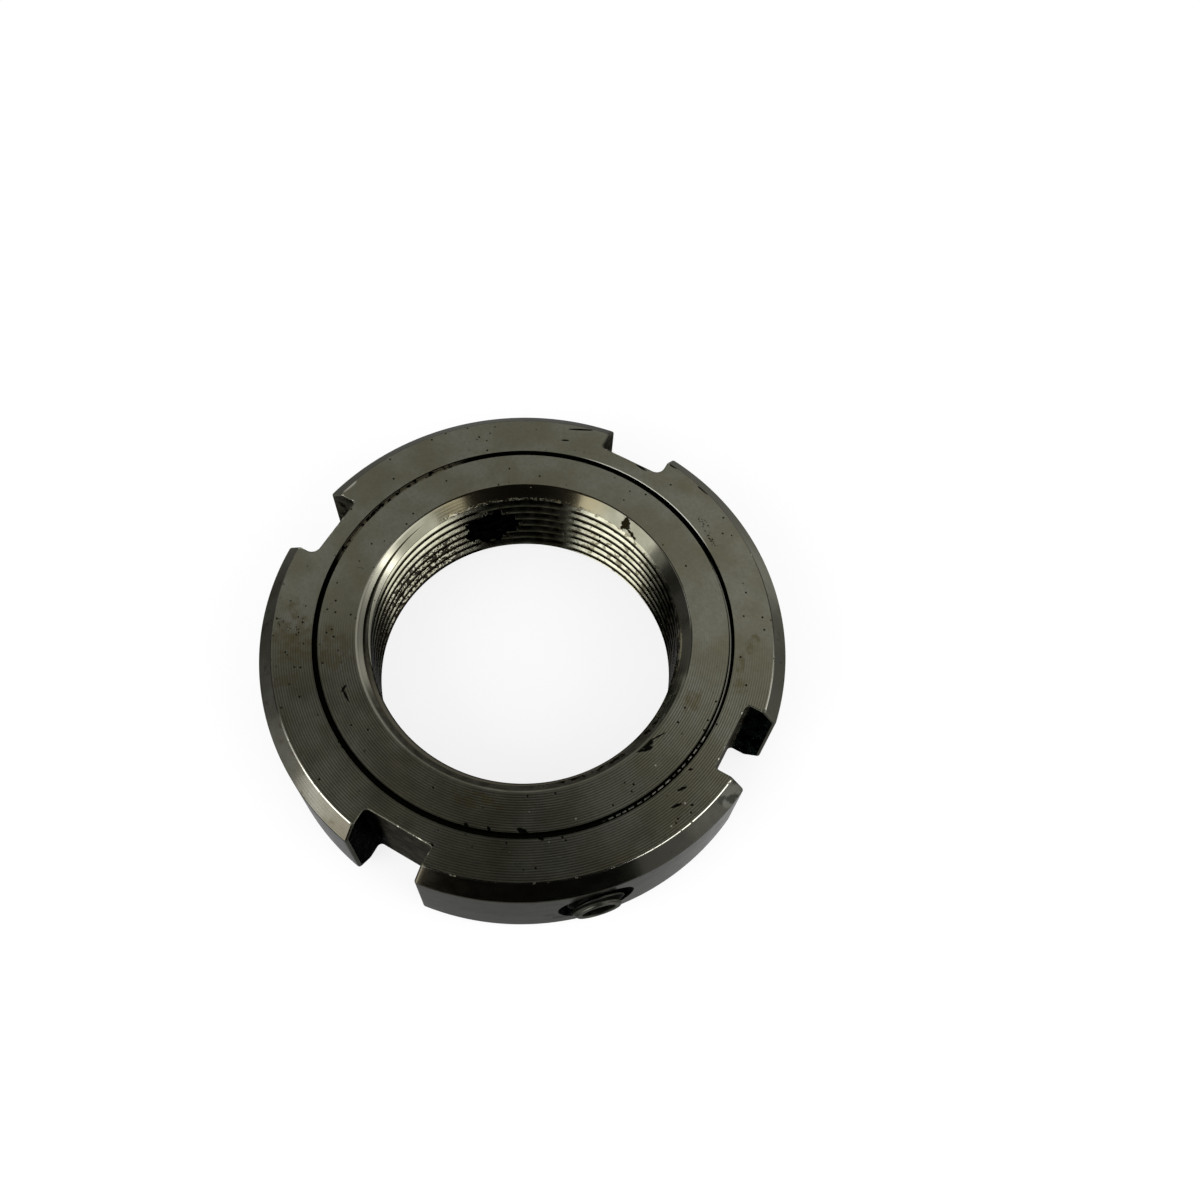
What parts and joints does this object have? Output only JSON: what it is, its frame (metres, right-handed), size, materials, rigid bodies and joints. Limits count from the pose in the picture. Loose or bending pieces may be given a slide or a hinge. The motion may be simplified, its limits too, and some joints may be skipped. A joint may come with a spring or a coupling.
{
  "type": "slotted round lock nut with set screws",
  "caption": "Slotted round shaft lock nut with a left-hand thread, clamped by radial hexagon-socket set screws.",
  "frame": {"origin": "centre of the plain face, on the thread axis", "axes": "+Z along the thread axis to the grooved face; +X and +Y through two neighbouring spanner slots"},
  "size_m": [0.0564, 0.0564, 0.0135],
  "materials": {
    "turned_steel": "turned, oily, with faint stains",
    "screw_steel": "blackened, oily"
  },
  "bodies": {
    "root": {"nut_body": "turned_steel", "set_screw_front": "screw_steel", "set_screw_rear": "screw_steel"}
  },
  "joints": []
}
